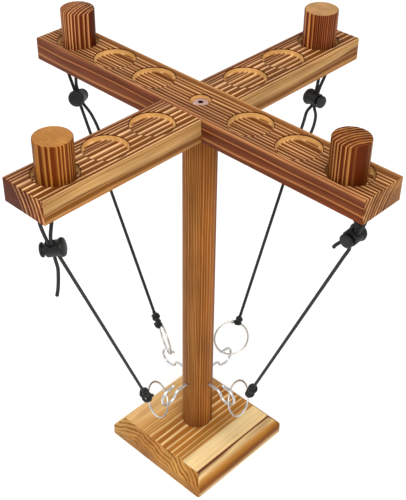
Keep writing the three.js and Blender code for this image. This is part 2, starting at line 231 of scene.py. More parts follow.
def timber(name, grain, centre, half, heart, widths, ground, line, change=999, strength=(1, 1),
           sway=1.6, seed=0.0, lean=0.0, waver=6.0, thin=1.0, slim=1.0, fade=None):
    """Carbonised pine, brushed and lacquered: soft wood burnt brown between hard pale growth lines.

    Distances are millimetres. heart is the tree's centre, across and up from the piece's own;
    widths are the growth rings' pitches inside and outside the distance change, and strength how
    much the lines show there. sway bends the rings. ground colours run across the piece, from one
    side to the other; lean makes them slope with height and waver makes them wander. slim makes
    the growth lines narrower, and thin does on the side the colours start from. fade is a height,
    another above it and the colour at the lower one, where the lines are full.
    """
    material, tree, shader = surface(name)
    turn = Matrix.Rotation(GRAIN_TURNS[grain][2], 3, "Z") @ Matrix.Rotation(GRAIN_TURNS[grain][1], 3, "Y")
    shift = -(turn @ Vector(centre)) - Vector((0, *heart))
    place = node(tree, "ShaderNodeTexCoord").outputs["Object"]
    point = node(tree, "ShaderNodeMapping", {
        "Vector": place, "Location": shift, "Rotation": GRAIN_TURNS[grain], "Scale": (1 / MM,) * 3,
    }).outputs[0]

    def speckle(along, across, detail, shift_by):
        """Noise stretched along the grain, in cycles for each millimetre."""
        spread = node(tree, "ShaderNodeMapping", {
            "Vector": point,
            "Scale": (along, across, across),
            "Location": (seed + shift_by, seed, shift_by),
        })
        return noise(tree, spread.outputs[0], 1, detail, Roughness=0.55)

    # Growth rings: distance from the heart, made wavy, then counted.
    wave = speckle(0.006, 0.035, 2, 0)
    parts = node(tree, "ShaderNodeSeparateXYZ", {0: point}).outputs
    flat = node(tree, "ShaderNodeCombineXYZ", {1: parts[1], 2: parts[2]}).outputs[0]
    reach = node(tree, "ShaderNodeVectorMath", {0: flat}, operation="LENGTH").outputs["Value"]
    reach = calc(tree, "MULTIPLY_ADD", wave, 2 * sway, reach)
    uneven = node(tree, "ShaderNodeTexNoise", {
        "W": calc(tree, "MULTIPLY_ADD", reach, 0.21, seed), "Scale": 1, "Detail": 1,
    }, noise_dimensions="1D").outputs["Fac"]
    inner = calc(tree, "DIVIDE", calc(tree, "MINIMUM", reach, change), widths[0])
    past = calc(tree, "MAXIMUM", calc(tree, "SUBTRACT", reach, change), 0.0)
    count = calc(tree, "ADD", inner, calc(tree, "DIVIDE", past, widths[1]))
    count = calc(tree, "MULTIPLY_ADD", uneven, UNEVEN_RINGS, count)
    ring = node(tree, "ShaderNodeValToRGB", {0: calc(tree, "FRACT", count)}, stops=GROWTH_LINE).outputs[0]

    # Ground colours across the piece.
    across = calc(tree, "MULTIPLY_ADD", wave, waver, calc(tree, "MULTIPLY_ADD", parts[2], lean, parts[1]))
    middle = waver / 2 - heart[0] - lean * heart[1]
    share = ranged(tree, across, middle - half, middle + half, 0, 1)
    ring = calc(tree, "POWER", ring, ranged(tree, share, 0.16, 0.2, thin, slim))
    bold = ranged(tree, reach, change - 2, change + 2, *strength)
    body = node(tree, "ShaderNodeValToRGB", {0: share}, stops=ground).outputs[0]
    if fade:
        rise = ranged(tree, parts[2], fade[0] - heart[1], fade[1] - heart[1], 0, 1)
        bold = ranged(tree, rise, 0, 1, 1, bold)
        body = blended(tree, rise, linear(fade[2]), body)

    # Streaks, clouds and fibres over both, and the brushed relief.
    streak = ranged(tree, speckle(0.012, 0.4, 2, 5), 0.3, 0.7, 0.5, 1)
    amount = calc(tree, "MULTIPLY", calc(tree, "MULTIPLY", ring, bold), streak)
    fibre = speckle(0.04, 2.4, 3, 9)
    clouds = ranged(tree, speckle(0.014, 0.07, 3, 3), 0.3, 0.7, 0.8, 1.16)
    colour = blended(tree, amount, body, linear(line))
    colour = blended(tree, 1.0, colour, clouds, "MULTIPLY")
    colour = blended(tree, 1.0, colour, ranged(tree, fibre, 0.3, 0.7, 0.86, 1.12), "MULTIPLY")
    height = calc(tree, "MULTIPLY_ADD", fibre, 0.35, amount)
    finished(tree, shader, colour, ranged(tree, amount, 0, 1, 0.47, 0.34), height, 0.5, 0.0004)
    shader.inputs["IOR"].default_value = 1.5
    shader.inputs["Specular IOR Level"].default_value = 0.05
    return material


def plated_steel(name, colour, rough, scratch):
    """Drawn and plated steel: bright, with faint drawing marks that break up its reflections."""
    material, tree, shader = surface(name)
    place = node(tree, "ShaderNodeTexCoord").outputs["Object"]
    spread = node(tree, "ShaderNodeMapping", {"Vector": place, "Scale": (900, 900, 260)}).outputs[0]
    marks = noise(tree, spread, 1, 3)
    dull = [c * 0.82 for c in colour[:3]] + [1]
    shine = ranged(tree, marks, 0.3, 0.7, rough - 0.06, rough + 0.1)
    finished(tree, shader, blended(tree, noise(tree, place, 160), dull, colour), shine, marks, scratch,
             0.00005)
    shader.inputs["Metallic"].default_value = 1.0
    return material


def braided_polyester(name, colour, fleck):
    """Braided polyester cord: matt black, its carriers catching the light in slanted flecks."""
    material, tree, shader = surface(name)
    coords = node(tree, "ShaderNodeUVMap", uv_map="along").outputs[0]
    around, run = node(tree, "ShaderNodeSeparateXYZ", {0: coords}).outputs[:2]

    def slant(sign):
        """One set of carriers, four round the cord, winding one way."""
        wound = calc(tree, "MULTIPLY", around, 8 * math.pi * sign)
        return calc(tree, "SINE", calc(tree, "MULTIPLY_ADD", run, 2 * math.pi, wound))

    weave = calc(tree, "MULTIPLY", slant(1), slant(-1))
    place = node(tree, "ShaderNodeTexCoord").outputs["Object"]
    fuzz = noise(tree, place, 2600)
    lit = calc(tree, "MULTIPLY", ranged(tree, weave, 0.15, 0.9, 0, 1), fuzz)
    height = calc(tree, "MULTIPLY_ADD", fuzz, 0.4, weave)
    finished(tree, shader, blended(tree, lit, colour, fleck), 0.8, height, 0.6, 0.0002)
    shader.inputs["Sheen Weight"].default_value = 0.06
    return material


def moulded_plastic(name, colour):
    """Injection-moulded acetal with a spark-eroded grain: matt, dark grey where light grazes it."""
    material, tree, shader = surface(name)
    place = node(tree, "ShaderNodeTexCoord").outputs["Object"]
    grit = noise(tree, place, 2200)
    flow = [c * 1.7 for c in colour[:3]] + [1]
    finished(tree, shader, blended(tree, noise(tree, place, 90), colour, flow),
             ranged(tree, grit, 0.3, 0.7, 0.42, 0.56), grit, 0.35, 0.0001)
    shader.inputs["Specular IOR Level"].default_value = 0.3
    return material


# ---- Places ----
def turned(arm, direction):
    """A direction of an arm's own frame (x out, z up) in the row frame."""
    return Matrix.Rotation(math.radians(arm["turn"]), 3, "Z") @ Vector(direction)


def lock_frame(arm):
    """The lock's middle and its three directions, in the arm's frame, and its two strands."""
    lean, turn = math.radians(arm["lean"]), math.radians(arm["axis"])
    up = Vector((math.sin(lean), 0, math.cos(lean)))
    outwards = Vector((math.cos(lean), 0, -math.sin(lean)))
    axis = outwards * math.cos(turn) - Vector((0, 1, 0)) * math.sin(turn)
    middle = Vector((arm["lock"][0], 0, arm["lock"][1]))
    apart = Quaternion(up, math.radians(arm["strands"])) @ axis
    strands = [
        [middle + apart * (side * STRAND_SPACING / 2) + up * rise for rise in STRAND_RISES]
        for side in (1, -1)
    ]
    return middle, axis, up, strands


def ring_frame(arm):
    """The ring's centre and its in-plane directions, in the arm's frame."""
    lean, twist = (math.radians(angle) for angle in arm["ring"])
    u = Vector((-math.cos(lean), 0, -math.sin(lean)))
    normal = Vector((-math.sin(twist) * math.sin(lean), math.cos(twist), math.sin(twist) * math.cos(lean)))
    centre = Vector((arm["caught"][0], 0, arm["caught"][1])) - u * RING_R
    return centre, u, normal.cross(u)


def knot_frame(arm):
    """The knot's middle and the direction of the cord that leaves it, in the arm's frame."""
    middle = Vector(arm["knot"])
    return middle, (lock_frame(arm)[3][0][-1] - middle).normalized()


def cord_points(arm):
    """The cord's points in the arm's frame: cut end, lock, eye, lock again, and down to the knot."""
    main, tail = lock_frame(arm)[3]
    side = 1 if arm["strands"] == 0 else -1
    loop = [
        Vector((EYE_REACH + side * LOOP_R * math.cos(a), 0, LOOP_MIDDLE_Z + LOOP_R * math.sin(a)))
        for a in (math.radians(degrees) for degrees in range(0, 181, 36))
    ]
    middle, along = knot_frame(arm)
    knot_top = middle + along * (arm["size"][0] / 2 + KNOT_GAP)
    lead = [Vector(p) for p in arm["lead"]]
    start = lead[-1] if lead else main[-1]
    run = [start.lerp(knot_top, share) for share in (0.05, 0.15, 0.3, 0.45, 0.6, 0.75, 0.9, 1)]
    return [Vector(p) for p in arm["tail"]] + tail[::-1] + loop + main + lead + run


def route(points, steps):
    """A smooth curve through the points, that many steps between each two of them."""
    ends = [points[0] * 2 - points[1], *points, points[-1] * 2 - points[-2]]
    made = []
    for a, b, c, d in zip(ends, ends[1:], ends[2:], ends[3:]):
        ab, bc, cd = ((q - p).length ** 0.5 for p, q in ((a, b), (b, c), (c, d)))
        leave = ((b - a) / ab - (c - a) / (ab + bc) + (c - b) / bc) * bc
        enter = ((c - b) / bc - (d - b) / (bc + cd) + (d - c) / cd) * bc
        for i in range(steps):
            t = i / steps
            made.append(
                b + leave * t + (c * 3 - b * 3 - leave * 2 - enter) * t * t
                + (b * 2 - c * 2 + leave + enter) * t**3
            )
    return [*made, points[-1].copy()]


def evenly(points, gap):
    """The same line with its points a fixed gap apart."""
    lengths = [0.0]
    for a, b in zip(points, points[1:]):
        lengths.append(lengths[-1] + (b - a).length)
    count = max(2, round(lengths[-1] / gap))
    made, at = [], 0
    for i in range(count + 1):
        want = lengths[-1] * i / count
        while at < len(points) - 2 and lengths[at + 1] < want:
            at += 1
        share = (want - lengths[at]) / (lengths[at + 1] - lengths[at])
        made.append(points[at].lerp(points[at + 1], share))
    return made


# ---- Meshes ----
def linked(name, data):
    """A new object in the scene."""
    made = bpy.data.objects.new(name, data)
    bpy.context.scene.collection.objects.link(made)
    return made


def mesh_from(work, name):
    """A mesh from bmesh work, which is then freed."""
    made = bpy.data.meshes.new(name)
    work.to_mesh(made)
    work.free()
    return made


def settle(name, mesh, materials, sharp=35):
    """An object at the origin from a finished mesh, shaded smooth except at its sharp edges."""
    mesh.name = name
    for material in materials:
        mesh.materials.append(material)
    mesh.shade_smooth()
    mesh.set_sharp_from_angle(angle=math.radians(sharp))
    return linked(name, mesh)


def evaluated(made):
    """The plain mesh that an object's modifiers give; the object itself is removed."""
    bpy.context.view_layer.update()
    graph = bpy.context.evaluated_depsgraph_get()
    mesh = bpy.data.meshes.new_from_object(made.evaluated_get(graph))
    bpy.data.objects.remove(made)
    return mesh


def eased_copy(name, source, width, materials, sharp=35, segments=2):
    """A copy of a frame node with its edges rounded."""
    work = bmesh.new()
    work.from_mesh(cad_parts[source].data)
    bmesh.ops.remove_doubles(work, verts=work.verts, dist=0.00001)
    bmesh.ops.dissolve_limit(work, angle_limit=math.radians(0.6), verts=work.verts, edges=work.edges)
    made = linked("making", mesh_from(work, "copy"))
    bevel = made.modifiers.new("Eased edges", "BEVEL")
    bevel.width, bevel.segments, bevel.limit_method = width, segments, "ANGLE"
    bevel.angle_limit = math.radians(sharp)
    bevel.use_clamp_overlap = True
    made_mesh = evaluated(made)
    made_mesh.materials.clear()
    return settle(name, made_mesh, materials, sharp)


def lathe_mesh(profile, sides, at=(0, 0)):
    """A closed solid turned round an upright axis; profile runs from axis to axis, (radius, height)."""
    work = bmesh.new()
    rows = []
    for radius, height in profile:
        count = sides if radius else 1
        angles = [2 * math.pi * k / sides for k in range(count)]
        rows.append([work.verts.new(Vector((at[0] + radius * math.cos(a), at[1] + radius * math.sin(a),
                                            height)) * MM) for a in angles])
    for low, high in zip(rows, rows[1:]):
        for k in range(sides):
            nxt = k + 1
            ring = [low[k % len(low)], low[nxt % len(low)], high[nxt % len(high)], high[k % len(high)]]
            work.faces.new(list(dict.fromkeys(ring)))
    bmesh.ops.recalc_face_normals(work, faces=work.faces)
    return mesh_from(work, "lathe")


def block_mesh(low, high, edge=0.0):
    """A box between two corners in millimetres, its edges rounded."""
    work = bmesh.new()
    bmesh.ops.create_cube(work, size=1)
    low, high = Vector(low) * MM, Vector(high) * MM
    for vertex in work.verts:
        vertex.co = [(low[i] + high[i]) / 2 + vertex.co[i] * (high[i] - low[i]) for i in range(3)]
    if edge:
        bmesh.ops.bevel(work, geom=work.edges[:], offset=edge, segments=3, profile=0.5, affect="EDGES")
    return mesh_from(work, "block")


def carved(mesh, cutters):
    """The mesh with each cutter taken away from it."""
    made = linked("making", mesh)
    tools = []
    for cutter in cutters:
        tool = linked("cutter", cutter)
        modifier = made.modifiers.new("Cut", "BOOLEAN")
        modifier.operation, modifier.solver, modifier.object = "DIFFERENCE", "EXACT", tool
        tools.append(tool)
    result = evaluated(made)
    for tool in tools:
        bpy.data.objects.remove(tool)
    return result


def wire_tree():
    """Geometry Nodes that sweep a round wire along a chain of edges."""
    tree = bpy.data.node_groups.new("Round wire along a path", "GeometryNodeTree")
    for name, kind in (("Path", "NodeSocketGeometry"), ("Wire Radius", "NodeSocketFloat"),
                       ("Sides", "NodeSocketInt"), ("Material", "NodeSocketMaterial")):
        tree.interface.new_socket(name, in_out="INPUT", socket_type=kind)
    tree.interface.new_socket("Wire", in_out="OUTPUT", socket_type="NodeSocketGeometry")
    given = node(tree, "NodeGroupInput").outputs
    path = node(tree, "GeometryNodeMeshToCurve", {"Mesh": given["Path"]}).outputs[0]
    ring = node(tree, "GeometryNodeCurvePrimitiveCircle", {
        "Resolution": given["Sides"], "Radius": given["Wire Radius"]}).outputs[0]
    swept = node(tree, "GeometryNodeCurveToMesh", {
        "Curve": path, "Profile Curve": ring, "Fill Caps": True}).outputs[0]
    plain = node(tree, "GeometryNodeRealizeInstances", {0: swept}).outputs[0]
    coloured = node(tree, "GeometryNodeSetMaterial", {
        "Geometry": plain, "Material": given["Material"]}).outputs[0]
    node(tree, "NodeGroupOutput", {"Wire": coloured})
    return tree


def wire_mesh(points, radius, sides, material, closed=False):
    """The mesh of one wire along points in the row frame, made by the wire tree."""
    mesh = bpy.data.meshes.new("path")
    edges = [(i, i + 1) for i in range(len(points) - 1)]
    mesh.from_pydata(points, edges + ([(len(points) - 1, 0)] if closed else []), [])
    made = linked("making", mesh)
    tree = bpy.data.node_groups.get("Round wire along a path") or wire_tree()
    modifier = made.modifiers.new("Wire", "NODES")
    modifier.node_group = tree
    values = {"Wire Radius": radius, "Sides": sides, "Material": material}
    for item in tree.interface.items_tree:
        if item.in_out == "INPUT" and item.name in values:
            modifier[item.identifier] = values[item.name]
    return evaluated(made)


def joined(meshes):
    """One mesh from several, faces facing outwards; the first one's layers are kept."""
    work = bmesh.new()
    for mesh in meshes:
        work.from_mesh(mesh)
    bmesh.ops.remove_doubles(work, verts=work.verts, dist=0.0000005)
    bmesh.ops.recalc_face_normals(work, faces=work.faces)
    return mesh_from(work, "joined")


def wires(name, paths, sides, material):
    """One object from several wires, each a (points, radius, closed) of the row frame in metres."""
    mesh = joined([wire_mesh(p, r, sides, material, closed) for p, r, closed in paths])
    mesh.materials.clear()
    return settle(name, mesh, [material], sharp=50)


def helix(start, axis, radius, pitch, turns, steps=16):
    """Points of a helix round an axis from start."""
    axis = axis.normalized()
    side = axis.orthogonal().normalized()
    other = axis.cross(side)
    return [
        start + axis * (pitch * i / steps)
        + (side * math.cos(2 * math.pi * i / steps) + other * math.sin(2 * math.pi * i / steps)) * radius
        for i in range(int(turns * steps) + 1)
    ]


def braid_mesh(points, radius, sides, lay, swell=0.0):
    """A braided tube with rounded ends. lay is the length of one crossing; swell fattens the cut end."""
    work = bmesh.new()
    uv = work.loops.layers.uv.new("along")
    tangents = [
        (points[min(i + 1, len(points) - 1)] - points[max(i - 1, 0)]).normalized()
        for i in range(len(points))
    ]
    side = tangents[0].orthogonal().normalized()
    run, rows = 0.0, []
    last = len(points) - 1
    for i, (point, tangent) in enumerate(zip(points, tangents)):
        if i:
            side = tangents[i - 1].rotation_difference(tangent) @ side
            run += (point - points[i - 1]).length
        side = (side - tangent * side.dot(tangent)).normalized()
        other = tangent.cross(side)
        from_end = min(i, last - i)
        size = radius * (1 + swell * max(0.0, 1 - i / 4)) * (0.72 if from_end == 0 else 1)
        row = []
        for k in range(sides):
            around = k / sides
            a, b = (math.sin(2 * math.pi * (run / lay + sign * 4 * around)) for sign in (1, -1))
            reach = size * (1 + 0.035 * a * b)
            turn = 2 * math.pi * around
            row.append(work.verts.new(point + (side * math.cos(turn) + other * math.sin(turn)) * reach))
        rows.append((row, run / lay))
    for (low, v0), (high, v1) in zip(rows, rows[1:]):
        for k in range(sides):
            nxt = (k + 1) % sides
            face = work.faces.new((low[k], low[nxt], high[nxt], high[k]))
            u0, u1 = k / sides, (k + 1) / sides
            for loop, at in zip(face.loops, ((u0, v0), (u1, v0), (u1, v1), (u0, v1))):
                loop[uv].uv = at
    work.faces.new(rows[0][0][::-1])
    work.faces.new(rows[-1][0])
    return mesh_from(work, "braid")


def in_row(arm, points):
    """Points of an arm's frame in millimetres as row points in metres."""
    return [turned(arm, p) * MM for p in points]


def stands_for(made, node_name, body="frame"):
    """Makes a piece stand for its frame node and move with the body."""
    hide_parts(node_name)
    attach(made, body)


# ---- What a user may change ----
def length(name, description, default, low, high):
    return bpy.props.FloatProperty(name=name, description=description, default=default, min=low, max=high,
                                   unit="LENGTH")


def colour(name, description, code):
    return bpy.props.FloatVectorProperty(name=name, description=description, subtype="COLOR", size=4,
                                         default=linear(code), min=0, max=1)


class RINGTOSS_PG_timber(bpy.types.PropertyGroup):
    edge: length("Edge rounding", "How far the timber's edges are sanded round", 0.0009, 0.0001, 0.003)
    peg_edge: length("Peg edge rounding", "How far the pegs' ends are eased", 0.0005, 0.0001, 0.003)


class RINGTOSS_PG_cord(bpy.types.PropertyGroup):
    diameter: length("Cord diameter", "Thickness of the braided cord", 2 * CORD_R * MM, 0.001, 0.006)
    crossing: length("Braid crossing", "Length of one crossing of the carriers", 0.0042, 0.001, 0.02)
    colour: colour("Cord colour", "Ground colour of the braid", "#0A0A0A")
    fleck: colour("Fleck colour", "Colour of the carriers that catch the light", "#222222")


class RINGTOSS_PG_steel(bpy.types.PropertyGroup):
    zinc: colour("Zinc plate", "Colour of the hooks and screw eyes", "#D6D8DA")
    nickel: colour("Nickel plate", "Colour of the rings", "#CFCBC4")
    copper: colour("Copper wash", "Colour of the furniture bolts", "#EDC3B6")


class RINGTOSS_PG_lock(bpy.types.PropertyGroup):
    colour: colour("Lock colour", "Colour of the cord locks' plastic", "#0D0E0E")
    edge: length("Lock edge rounding", "Rounding of the moulded edges", 0.00035, 0.0001, 0.001)


class RINGTOSS_PG_stage(bpy.types.PropertyGroup):
    floor: colour("Floor colour", "Colour of the plain floor", "#F4F3F1")
    key: bpy.props.FloatProperty(
        name="Key light", description="Power of the large soft light", default=26, min=0, max=500,
        unit="POWER")
    sky: bpy.props.FloatProperty(
        name="Room light", description="Strength of the room's even light", default=0.82, min=0, max=3)


# ---- Operators ----
class RINGTOSS_OT_stage(bpy.types.Operator):
    """Camera, floor and soft studio light"""

    bl_idname = "ringtoss.stage"
    bl_label = "Stage"

    def execute(self, context):
        looks = context.scene.ringtoss_stage
        self.camera(context)
        mesh = bpy.data.meshes.new("floor")
        half = FLOOR_HALF * MM
        mesh.from_pydata([(-half, -half, 0), (half, -half, 0), (half, half, 0), (-half, half, 0)], [],
                         [(0, 1, 2, 3)])
        material, tree, shader = surface("matt_paper_floor")
        shader.inputs["Base Color"].default_value = looks.floor
        shader.inputs["Roughness"].default_value = 0.95
        shader.inputs["Specular IOR Level"].default_value = 0.1
        shader.inputs["Emission Color"].default_value = (1, 1, 1, 1)
        shader.inputs["Emission Strength"].default_value = 0.16
        settle("floor", mesh, [material])
        for name, place, size, share in LIGHTS:
            self.light(name, Vector(place) * MM, size * MM, looks.key * share)
        self.room(context, looks.sky)
        return {"FINISHED"}

    def camera(self, context):
        """The view: from the front corner, above, with the whole set in frame."""
        data = bpy.data.cameras.new("camera")
        data.lens, data.sensor_width, data.sensor_fit = CAMERA_LENS, CAMERA_SENSOR, "AUTO"
        data.clip_start, data.clip_end = 0.05, 50
        made = linked("camera", data)
        at, look = Vector(CAMERA_AT) * MM, Vector(CAMERA_LOOKS_AT) * MM
        back = (at - look).normalized()
        right = UP.cross(back).normalized()
        up = back.cross(right)
        across = right * math.cos(CAMERA_ROLL) + up * math.sin(CAMERA_ROLL)
        tall = up * math.cos(CAMERA_ROLL) - right * math.sin(CAMERA_ROLL)
        made.matrix_world = Matrix.Translation(at) @ Matrix((across, tall, back)).transposed().to_4x4()
        context.scene.camera = made

    def light(self, name, place, size, power):
        data = bpy.data.lights.new(name, "AREA")
        data.energy, data.size, data.shape = power, size, "DISK"
        made = linked(name, data)
        aim = Vector(LIGHTS_AIM) * MM - place
        made.matrix_world = Matrix.Translation(place) @ aim.to_track_quat("-Z", "Y").to_matrix().to_4x4()

    def room(self, context, strength):
        """Even light from above that darkens towards the horizon, for the steel to reflect."""
        world = bpy.data.worlds.new("studio")
        world.use_nodes = True
        tree = world.node_tree
        tree.nodes.clear()
        way = node(tree, "ShaderNodeTexCoord").outputs["Generated"]
        height = node(tree, "ShaderNodeSeparateXYZ", {0: way}).outputs[2]
        tone = node(tree, "ShaderNodeValToRGB", {0: height}, stops=[
            (0.0, "#B4B4B4"), (1.0, "#FFFFFF"), (0.35, "#E8E8E8")])
        glow = node(tree, "ShaderNodeBackground", {"Color": tone.outputs[0], "Strength": strength})
        node(tree, "ShaderNodeOutputWorld", {"Surface": glow.outputs[0]})
        context.scene.world = world
        context.scene.view_settings.view_transform = "Standard"


class RINGTOSS_OT_cords(bpy.types.Operator):
    """Braided cords from the locks over the eyes to the knots, tied on the rings"""

    bl_idname = "ringtoss.cords"
    bl_label = "Cords and knots"

    def execute(self, context):
        looks = context.scene.ringtoss_cord
        braid = braided_polyester("braided_polyester_black", looks.colour, looks.fleck)
        for arm in ARMS:
            name = arm["name"]
            line = evenly(in_row(arm, route(cord_points(arm), 8)), BRAID_STEP * MM)
            mesh = braid_mesh(line, looks.diameter / 2, CORD_SIDES, looks.crossing, swell=0.12)
            cord = settle("cord_braid_" + name, mesh, [braid], sharp=80)
            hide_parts("cord_" + name)
            knot = self.knot(arm, braid, looks)
            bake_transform(cord)
        return {"FINISHED"}

    def knot(self, arm, braid, looks):
        """A hitch drawn tight on the ring: two lobes of wraps, a core and a short end."""
        middle, along = knot_frame(arm)
        length, width = arm["size"]
        thick = looks.diameter / MM / 2
        side = along.orthogonal().normalized()
        other = along.cross(side)
        body = width / 2 - thick
        half = length / 2 - thick

        def lobe(share):
            """Radius of the wraps: two lobes with a waist."""
            return body * (0.78 + 0.22 * math.cos(4 * math.pi * (share - 0.25)))

        def wraps(turns, sign, start):
            made = []
            for i in range(int(26 * turns) + 1):
                share = i / (26 * turns)
                turn = sign * 2 * math.pi * turns * share + start
                reach = lobe(share)
                made.append(middle + along * (half * (2 * share - 1))
                            + (side * math.cos(turn) + other * math.sin(turn)) * reach)
            return made

        core = [middle + along * (half * s) for s in (-1, -0.5, 0, 0.5, 1.0)]
        core.append(middle + along * (length / 2 + 1.0))
        turns = max(1.5, length / (2.1 * thick * 1.15) / 1.5)
        stub_dir = (other * 0.8 - along * 0.45).normalized()
        stub = [middle + along * (half * 0.1) + stub_dir * d for d in (0, 3, 6, 8.5)]
        paths = [(route(wraps(turns, 1, 0.4), 1), thick), (route(wraps(turns * 0.6, -1, 2.2), 1), thick),
                 (route(core, 6), min(body, thick * 1.25)), (route(stub, 6), thick)]
        meshes = [braid_mesh(evenly(in_row(arm, p), BRAID_STEP * MM), r * MM, KNOT_SIDES, looks.crossing)
                  for p, r in paths]
        knot = settle("knot_wraps_" + arm["name"], stacked(meshes), [braid], sharp=80)
        stands_for(knot, "knot_" + arm["name"], "knot_" + arm["name"])
        return knot


def stacked(meshes):
    """One mesh from several with their layers kept."""
    work = bmesh.new()
    for mesh in meshes:
        work.from_mesh(mesh)
    return mesh_from(work, "stacked")


# ---- What the timber looks like ----
# A bar's finishes, in the order of its material slots: torched faces, the pockets' freshly routed
# walls and their eased rims painted dark as shade, the sawn ends and the planed sides.
FINISHES = ("torched", "routed", "painted_rim_shade", "sawn", "planed")
ROUTED = {"ground": [(0, "#D2A064"), (1, "#D09C5A")], "line": "#E8BE82", "strength": (0.2, 0.25),
          "fade": (6.4, 8.0, "#7C4A22")}
# The pockets' eased rims: a dark colour painted on as shade along the rim's edge.
PAINTED_RIM_SHADE = {"ground": [(0, "#3A1606"), (1, "#3A1606")], "line": "#7A4A22"}
BAR_LOOKS = {
    "upper": {
        "wood": {"grain": "x", "centre": (0, 0, BAR_MIDDLE), "half": 31, "heart": (48, -30),
                 "widths": (3.2, 3.2), "change": 50, "strength": (0.3, 1.0), "seed": 3.1, "lean": 0.5,
                 "thin": 3.5},
        "torched": {"line": "#E0A86E", "ground": [
            (0, "#6A3318"), (1, "#8A5A30"), (0.05, "#5A2A10"), (0.17, "#4C1E0A"), (0.195, "#7C4628"),
            (0.235, "#8A5434"), (0.26, "#6A381A"), (0.32, "#5C2C10"), (0.8, "#683816"), (0.93, "#7A4A22")]},
        "routed": ROUTED,
        "painted_rim_shade": PAINTED_RIM_SHADE,
        "sawn": {"line": "#D8A46A", "widths": (4.2, 4.2), "strength": (0.12, 0.9), "change": 46,
                 "thin": 1.0, "ground": [(0, "#64330F"), (1, "#9A6A3E"), (0.5, "#6A3814"),
                                         (0.75, "#84542A")]},
        "planed": {"line": "#BC7C46", "strength": (0.3, 0.95), "waver": 9, "slim": 3.5, "ground": [
            (0, "#74381A"), (1, "#8A5A30"), (0.04, "#5E2C12"), (0.09, "#6E3A20"), (0.14, "#582610"),
            (0.19, "#70402A"), (0.5, "#5C2C10"), (0.8, "#683816")]},
    },
    "lower": {
        "wood": {"grain": "y", "centre": (0, 0, BAR_MIDDLE), "half": 31, "heart": (60, -26),
                 "widths": (2.5, 5.6), "change": 62, "strength": (0.5, 1.0), "seed": 7.7, "lean": 0.5,
                 "thin": 3.0},
        "torched": {"line": "#FCCA92", "ground": [
            (0, "#9A6C38"), (1, "#5C2610"), (0.035, "#6C3C14"), (0.165, "#AC8050"), (0.18, "#6E3E18"),
            (0.24, "#68380C"), (0.6, "#6E3C14"), (0.85, "#602E12")]},
        "routed": ROUTED,
        "painted_rim_shade": PAINTED_RIM_SHADE,
        "sawn": {"line": "#DC9C60", "widths": (2.5, 5.2), "strength": (0.1, 1.0),
                 "ground": [(0, "#6A2C10"), (1, "#521F10"), (0.5, "#48190A")]},
        "planed": {"line": "#DCB078", "widths": (1.5, 1.5), "strength": (0.3, 0.35), "half": 117,
                   "lean": 8, "waver": 230, "thin": 1.5, "ground": [
                       (0, "#A87038"), (1, "#6A3C16"), (0.1, "#8A5620"), (0.15, "#70400F"),
                       (0.33, "#7E4C1C"), (0.37, "#5A3010"), (0.41, "#A47C4A"), (0.58, "#AC8450"),
                       (0.66, "#9A6C3A"), (0.72, "#A87C48")]},
    },
}
BASE_WOOD = {"grain": "y", "centre": (0, 0, 12), "half": 67.5, "seed": 5.3}
BASE_FACE = {"heart": (40, -40), "widths": (1.1, 5.0), "change": 58, "strength": (0.75, 0.9), "slim": 2.2,
             "line": "#EBC88C", "waver": 2.5, "ground": [
                 (0, "#824A1C"), (1, "#D8B07A"), (0.02, "#A8702E"), (0.038, "#B47C3C"), (0.05, "#4E1C08"),
                 (0.086, "#5A2410"), (0.098, "#D6B680"), (0.23, "#DAC08E"), (0.26, "#A87234"),
                 (0.36, "#A06628"), (0.55, "#905620"), (0.66, "#A87234"), (0.78, "#C8965A")]}
BASE_END = {"heart": (22, -140), "widths": (3.6, 3.6), "sway": 5.0, "waver": 20.0, "line": "#5A2206",
            "strength": (0.95, 0.95), "ground": [(0, "#A87034"), (1, "#B88C50"), (0.3, "#BC8A48"),
                                                 (0.6, "#A4703A")]}
# The post's ground colour is lighter in the middle and darker towards both sides: painted shade of the
# round post, over its real grain.
POST_WOOD_AND_SHADE = {"grain": "z", "centre": (0, 0, 0), "half": 17, "heart": (30, -55), "widths": (2.6, 1.5),
             "change": 62, "line": "#D8A058", "strength": (0.55, 0.75), "seed": 12.5, "slim": 1.8,
             "ground": [(0, "#6C3812"), (1, "#6C3812"), (0.5, "#8E5220")]}


def finish_of(face, long_way):
    """Which of the finishes a bar's face has."""
    middle = face.center / MM
    along, across = abs(middle[long_way]), abs(middle[1 - long_way])
    in_pocket = along < BAR_HALF_LENGTH - 1 and across < BAR_HALF_WIDTH - 1
    below = BAR_TOP - middle.z
    if in_pocket and 0.02 < below < POCKET_DEPTH + 0.5 and abs(face.normal.z) < 0.98:
        # The eased rim just under the top takes the painted shade; the wall below it is routed wood.
        return "painted_rim_shade" if below < POCKET_EASE + 0.05 else "routed"
    if along > BAR_HALF_LENGTH - 0.5:
        return "sawn"
    return "planed" if abs(face.normal[1 - long_way]) > 0.7 else "torched"


